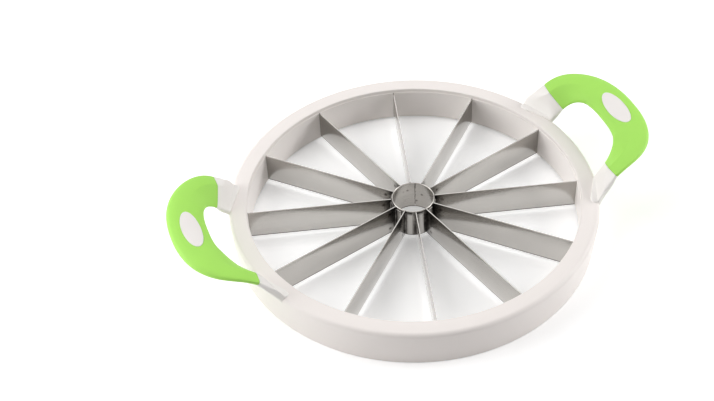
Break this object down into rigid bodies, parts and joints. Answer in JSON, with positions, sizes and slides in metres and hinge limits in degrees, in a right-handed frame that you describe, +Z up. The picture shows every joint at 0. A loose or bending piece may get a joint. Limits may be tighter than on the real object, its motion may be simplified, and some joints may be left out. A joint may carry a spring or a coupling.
{
  "type": "watermelon slicer",
  "caption": "Ring-shaped fruit slicer: radial steel blades run from a coring tube to a hollow plastic ring with two raised loop handles in soft green grips.",
  "frame": {"origin": "centre of the ring, on the plane the ring's foot stands on", "axes": "+X from the ring's centre out to one handle, +Y across the ring between the handles, +Z up, away from the cutting edges"},
  "size_m": [0.325, 0.245, 0.0536],
  "materials": {
    "ring_white": "moulded warm white plastic with a satin surface",
    "base_white": "moulded warm white plastic, plain underside",
    "handle_white": "moulded warm white plastic with a satin surface",
    "inlay_white": "moulded off-white plastic, satin",
    "grip_green": "soft-touch lime green rubber, finely matte",
    "blade_steel": "cold-rolled stainless strip with fine lengthwise brushing and a ground lower edge",
    "liner_white": "moulded warm white plastic, plain satin hoop",
    "tube_steel": "rolled stainless tube with a butt seam",
    "screw_steel": "plain steel screws"
  },
  "bodies": {
    "root": {"upper_rim": "ring_white", "lower_rim": "base_white", "inner_liner": "liner_white", "core_tube": "tube_steel", "blade_01": "blade_steel", "blade_02": "blade_steel", "blade_03": "blade_steel", "blade_04": "blade_steel", "blade_05": "blade_steel", "blade_06": "blade_steel", "blade_07": "blade_steel", "blade_08": "blade_steel", "blade_09": "blade_steel", "blade_10": "blade_steel", "blade_11": "blade_steel", "blade_12": "blade_steel", "handle_core_right": "handle_white", "handle_core_left": "handle_white", "grip_right": "grip_green", "grip_left": "grip_green", "oval_inlay_right": "inlay_white", "oval_inlay_left": "inlay_white", "rim_screws": "screw_steel", "handle_screws": "screw_steel"}
  },
  "joints": []
}
